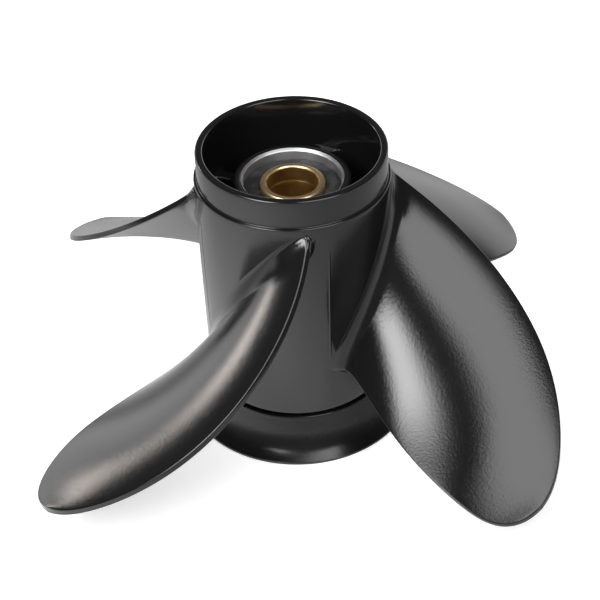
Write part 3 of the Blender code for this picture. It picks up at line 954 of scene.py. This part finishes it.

# %% [markdown]
# ## Splined sleeve
#
# The sleeve fits the propeller shaft. It is turned from bronze: a rounded rim, a smooth mouth that
# ends in a shallow step, and further down thirteen grooves for the shaft's splines. The grooves could
# be cut with a Boolean, but as an array the sleeve is one grid whose bore radius swings between tip
# and groove round the turn, and the swing grows from nothing where the splines begin. The bore is
# painted darker and browner than the rim, as painted shade deep inside the sleeve, so the metal's
# colour depends on the distance from the shaft.

# %% Splined sleeve
SLEEVE_ROUNDING = 1.1 * MM
SLEEVE_MOUTH_RADIUS = 10.17 * MM
SLEEVE_MOUTH_Z = 102.0 * MM
SLEEVE_TAPER = 0.3 * MM
SLEEVE_BORE_RADIUS = 10.05 * MM
SPLINE_TOP_Z = 90.0 * MM
SPLINE_RUN_OUT = 1.5 * MM
SPLINE_TIP_RADIUS = 8.6 * MM
SPLINE_GROOVE_RADIUS = 9.9 * MM
SPLINES = 13
SPLINE_STEPS = 24
SPLINE_FLATNESS = 1.4
SMOOTH_MARGIN = 2.0 * MM
# Inside the bore the bronze is painted darker and browner: painted shade deep in the sleeve.
BORE_SHADE_SPAN = (10.22 * MM, 10.52 * MM)
BRONZE = (1.0, 0.72, 0.42, 1.0)
SHADED_BORE_BRONZE = (0.60, 0.43, 0.19, 1.0)
BRONZE_MARKS = (0.30, 0.08, 120.0)
BRONZE_TURNING = (4000.0, 0.000008)


def sleeve_outline():
    """Rounded rim, outer wall, aft end, the bore up past the splines, the step, and the mouth."""
    edge = SLEEVE_ROUNDING
    top = SLEEVE_TOP_Z - edge
    bore, mouth = SLEEVE_BORE_RADIUS, SLEEVE_MOUTH_RADIUS
    smooth = (bore, SPLINE_TOP_Z + SMOOTH_MARGIN)
    step_low = (bore, SLEEVE_MOUTH_Z - SLEEVE_TAPER / 2)
    step_high = (mouth, SLEEVE_MOUTH_Z + SLEEVE_TAPER / 2)
    return np.concatenate(
        [
            arc((mouth + edge, top), edge, 180, 90, 8),
            arc((SLEEVE_RADIUS - edge, top), edge, 90, 0, 8),
            line((SLEEVE_RADIUS, top), (SLEEVE_RADIUS, SLEEVE_AFT_Z), 10),
            [(SLEEVE_RADIUS, SLEEVE_AFT_Z), (bore, SLEEVE_AFT_Z)],
            line((bore, SLEEVE_AFT_Z), smooth, 40),
            line(smooth, step_low, 6),
            line(step_low, step_high, 6),
            [step_high],
            line(step_high, (mouth, top), 6),
        ]
    )


def sleeve_points():
    """Turned grid whose bore is tip + (groove - tip) * flat-topped wave, where the splines run."""
    outline = sleeve_outline()
    angles = even_angles(SPLINES * SPLINE_STEPS)
    wave = np.clip(0.5 + SPLINE_FLATNESS * np.cos(SPLINES * angles), 0, 1)
    splined = SPLINE_TIP_RADIUS + (SPLINE_GROOVE_RADIUS - SPLINE_TIP_RADIUS) * wave
    points = turned_points(outline, angles)
    radius, height = outline[:, 0, None], outline[:, 1, None]
    in_bore = np.isclose(radius, SLEEVE_BORE_RADIUS) * (height < SPLINE_TOP_Z + SMOOTH_MARGIN)
    grown = np.clip((SPLINE_TOP_Z - height) / SPLINE_RUN_OUT, 0, 1) * in_bore
    new_radius = radius + (splined - radius) * grown
    points[..., :2] *= (new_radius / radius)[..., None]
    return points


bronze = make_finish("sleeve_bronze", BRONZE, 1.0, BRONZE_MARKS, turning_marks, BRONZE_TURNING)
# The bore is painted darker and browner than the rim: painted shade inside the sleeve.
distance = shaft_distance(bronze.node_tree)
outside = ramp_node(bronze.node_tree, distance, BORE_SHADE_SPAN, kind="LINEAR")
blend_color(bronze, outside, SHADED_BORE_BRONZE, BRONZE)
finishes["bronze"] = bronze
sleeve = ring_piece("bronze_sleeve", sleeve_points(), "bronze")
finish_piece(sleeve, "sleeve_bronze", "splined_sleeve")

# %% [markdown]
# ## Blades
#
# A propeller blade is drawn as sections on cylinders round the shaft. Rolled out flat, each section
# is a thin bar that runs from the leading edge to the trailing edge, bowed a little. The outline of
# the whole blade comes from a few chosen points, given as an angle round the shaft and a height, and
# a smooth curve through them. The stations lie closer together towards the tip and in the root
# fillet. Six details make the blade read as a casting: a root fillet that leaves the barrel without
# a crease, a smaller fillet at the leading edge, a low swell on the upper face just outside the root,
# a trailing edge that spreads out where it meets the barrel, blunt edges of about two millimetres,
# and a small rounding where each face meets the edge.

# %% Outline and section sizes
BLADE_OUTLINE = (
    (0.00, -81.4, 108.2),
    (0.12, -97.4, 80.3),
    (0.25, -113.4, 53.2),
    (0.38, -127.9, 32.3),
    (0.50, -137.0, 22.3),
    (0.62, -144.1, 18.7),
    (0.75, -148.8, 24.7),
    (0.88, -151.0, 32.1),
    (1.00, -150.2, 43.3),
)
BLADES = 4
TIP_RADIUS = 133.35 * MM
BLADE_START_RADIUS = 39.3 * MM
BLADE_SPAN = TIP_RADIUS - BLADE_START_RADIUS
BLADE_CAMBER = (2.9, -13.1, 11.3)
BLADE_CAMBER_LEAN = 0.13
BLADE_CAMBER_END = 0.25
ROOT_THICKNESS = 6.4 * MM
TIP_THICKNESS = 2.7 * MM
EDGE_THICKNESS = 2.3 * MM
THICKNESS_FALL = 0.8
ROOT_FILLET = 5.0 * MM
LEADING_FILLET_SHARE = 0.3
LEADING_FILLET_CHORD = 0.05
SWELL_HEIGHT = 0.8 * MM
SWELL_CHORD = 0.15
SWELL_WIDTH = 0.08
SWELL_REACH = 2.4 * MM
TRAILING_FLARE = 6.0 * MM
TRAILING_FLARE_REACH = 3.5 * MM
TRAILING_FLARE_CHORD = 0.25
ROOT_BLEND = 8.0 * MM
EDGE_ROUNDING = 0.35 * MM
ROOT_SINK = 0.004 * MM
FOOT_DEPTH = 1.2 * MM
CHORD_STEPS = 150
FILLET_STEPS = 24
SPAN_STEPS = 130
LAST_SPAN_ANGLE = math.radians(89.8)
OUTLINE_SAMPLES = 1201


# %% Smooth curve through the outline points
def natural_spline(knots, values, places):
    """Smoothest cubic curve through the knots, with free ends: solves for its bends at the knots."""
    gaps, slopes = np.diff(knots), np.diff(values) / np.diff(knots)
    inner = np.arange(1, len(knots) - 1)
    system, right = np.eye(len(knots)), np.zeros(len(knots))
    system[inner, inner - 1] = gaps[:-1]
    system[inner, inner] = 2 * (gaps[:-1] + gaps[1:])
    system[inner, inner + 1] = gaps[1:]
    right[inner] = 6 * np.diff(slopes)
    bends = np.linalg.solve(system, right)
    i = np.clip(np.searchsorted(knots, places) - 1, 0, len(gaps) - 1)
    after, before, gap = places - knots[i], knots[i + 1] - places, gaps[i]
    return (
        (bends[i] * before**3 + bends[i + 1] * after**3) / (6 * gap)
        + (values[i] / gap - bends[i] * gap / 6) * before
        + (values[i + 1] / gap - bends[i + 1] * gap / 6) * after
    )


def outline_at(way):
    """Angle round the shaft and height at shares of the way along the outline."""
    share, angle, height = np.array(BLADE_OUTLINE).T
    return (
        np.radians(natural_spline(share, angle, way)),
        natural_spline(share, height, way) * MM,
    )


print("outline angles", np.degrees(outline_at(np.linspace(0, 1, 11))[0]).round(1))


# %% Blade surface
def blade_stations():
    """Radii from the root outwards: along a quarter circle in the fillet, then r0 + span * sin(a)."""
    root = barrel_radius((BARREL_AFT_Z + SHOULDER_Z) / 2)
    turn = np.linspace(0, math.pi / 2, FILLET_STEPS + 1)
    fillet = root + ROOT_FILLET * (1 - np.cos(turn))
    start = math.asin((fillet[-1] - BLADE_START_RADIUS) / BLADE_SPAN)
    angles = np.linspace(start, LAST_SPAN_ANGLE, SPAN_STEPS + 1)[1:]
    return root, np.concatenate([fillet, BLADE_START_RADIUS + BLADE_SPAN * np.sin(angles)])


def edge_distance(points):
    """Distance of each point of the middle surface from the blade's outline.

    The part of the step to the nearest outline point that runs along the outline doesn't count.
    """
    span_angle = np.linspace(0, math.pi, OUTLINE_SAMPLES)
    angle, height = outline_at(span_angle / math.pi)
    edge = round_shaft(BLADE_START_RADIUS + BLADE_SPAN * np.sin(span_angle), angle, height)
    way = np.gradient(edge, axis=0)
    way /= np.linalg.norm(way, axis=1, keepdims=True)
    rows = []
    for row in points:
        nearest = np.linalg.norm(row[:, None] - edge, axis=-1).argmin(axis=1)
        apart = row - edge[nearest]
        along = (apart * way[nearest]).sum(axis=1)
        rows.append(np.sqrt(np.maximum((apart**2).sum(axis=1) - along**2, 0)))
    return np.array(rows)


def blade_points():
    """Rings of the blade, one for each station: the lower face from lead to trail, then the upper.

    The middle line is lead + (trail - lead) * chord, raised by the camber. The faces stand half the
    thickness off it, less the edge rounding, plus the growth of the root fillet and, above, the
    swell. Near the barrel the middle line is pushed along itself for the spread trailing edge, and
    every radius near the root is moved so that the first ring lies on the barrel's taper.
    """
    root, radius = blade_stations()
    radius = radius[:, None]
    span = np.clip((radius - BLADE_START_RADIUS) / BLADE_SPAN, 0, 1)
    way = np.arcsin(span) / math.pi
    lead_angle, lead_z = outline_at(way)
    trail_angle, trail_z = outline_at(1 - way)
    chord = ((1 - np.cos(np.linspace(0, math.pi, CHORD_STEPS + 1))) / 2)[None, :]
    bow = 4 * chord * (1 - chord)
    rise = np.polyval(BLADE_CAMBER[::-1], span) * MM * (1 - span**2) ** BLADE_CAMBER_END
    along = radius * (lead_angle + (trail_angle - lead_angle) * chord)
    lean = 1 + BLADE_CAMBER_LEAN * (2 * chord - 1)
    up = lead_z + (trail_z - lead_z) * chord + rise * bow * lean

    middle = np.stack([along, up], axis=-1)
    tangent = np.gradient(middle, axis=1)
    tangent /= np.linalg.norm(tangent, axis=-1, keepdims=True)
    normal = np.stack([tangent[..., 1], -tangent[..., 0]], axis=-1)
    thickest = ROOT_THICKNESS + (TIP_THICKNESS - ROOT_THICKNESS) * span
    half = (EDGE_THICKNESS + (thickest - EDGE_THICKNESS) * bow**THICKNESS_FALL) / 2

    place = round_shaft(radius, along / radius, up)
    distance = np.minimum(edge_distance(place), EDGE_ROUNDING)
    half -= EDGE_ROUNDING - np.sqrt(EDGE_ROUNDING**2 - (EDGE_ROUNDING - distance) ** 2)

    height = radius - root
    fillet = fillet_growth(height, ROOT_FILLET)
    growth = fillet * (1 - (1 - LEADING_FILLET_SHARE) * np.exp(-chord / LEADING_FILLET_CHORD))
    across = np.exp(-(((chord - SWELL_CHORD) / SWELL_WIDTH) ** 2))
    share = height / SWELL_REACH
    swell = SWELL_HEIGHT * across * share * np.exp((1 - share**2) / 2)
    trailing_part = np.clip(1 - (1 - chord) / TRAILING_FLARE_CHORD, 0, 1) ** 2
    flare = TRAILING_FLARE * np.exp(-height / TRAILING_FLARE_REACH)
    push = tangent * (flare * trailing_part)[..., None]
    push[:, 0] = -tangent[:, 0] * growth[:, :1]
    middle = middle + push
    lower = middle - (half + growth)[..., None] * normal
    upper = middle + (half + growth + swell)[..., None] * normal
    rings = np.concatenate([lower, upper[:, ::-1]], axis=1)

    fade = np.maximum(0, 1 - height / ROOT_BLEND)
    seat = barrel_radius(rings[..., 1]) - ROOT_SINK - root
    points = round_shaft(radius + seat * fade, rings[..., 0] / radius, rings[..., 1])
    foot = points[:1].copy()
    foot[..., :2] *= 1 - FOOT_DEPTH / SHOULDER_RADIUS
    return np.concatenate([foot, points])


def end_faces(first, columns, flip):
    """Quads that close a ring by joining its lower row to its upper row, point by point."""
    low = first + np.arange(columns)
    high = first + 2 * columns - 1 - np.arange(columns)
    quads = np.stack([low[:-1], low[1:], high[1:], high[:-1]], axis=1)
    return quads[:, ::-1] if flip else quads


def make_blade(number, rings):
    """One blade: the rings turned round the shaft, joined along the span, and closed at both ends."""
    turn = number * TURN / BLADES
    sine, cosine = math.sin(turn), math.cos(turn)
    x, y, z = rings[..., 0], rings[..., 1], rings[..., 2]
    points = np.stack([cosine * x - sine * y, sine * x + cosine * y, z], axis=-1)
    count, size = points.shape[:2]
    faces = np.concatenate(
        [
            grid_faces(count, size, close_columns=True),
            end_faces(0, size // 2, True),
            end_faces((count - 1) * size, size // 2, False),
        ]
    )
    return mesh_piece(f"blade_casting_{number + 1}", points, faces.tolist(), finishes["blade_paint"])


blade_rings = blade_points()
for number in range(BLADES):
    finish_piece(make_blade(number, blade_rings), "black_paint", f"blade_{number + 1}")
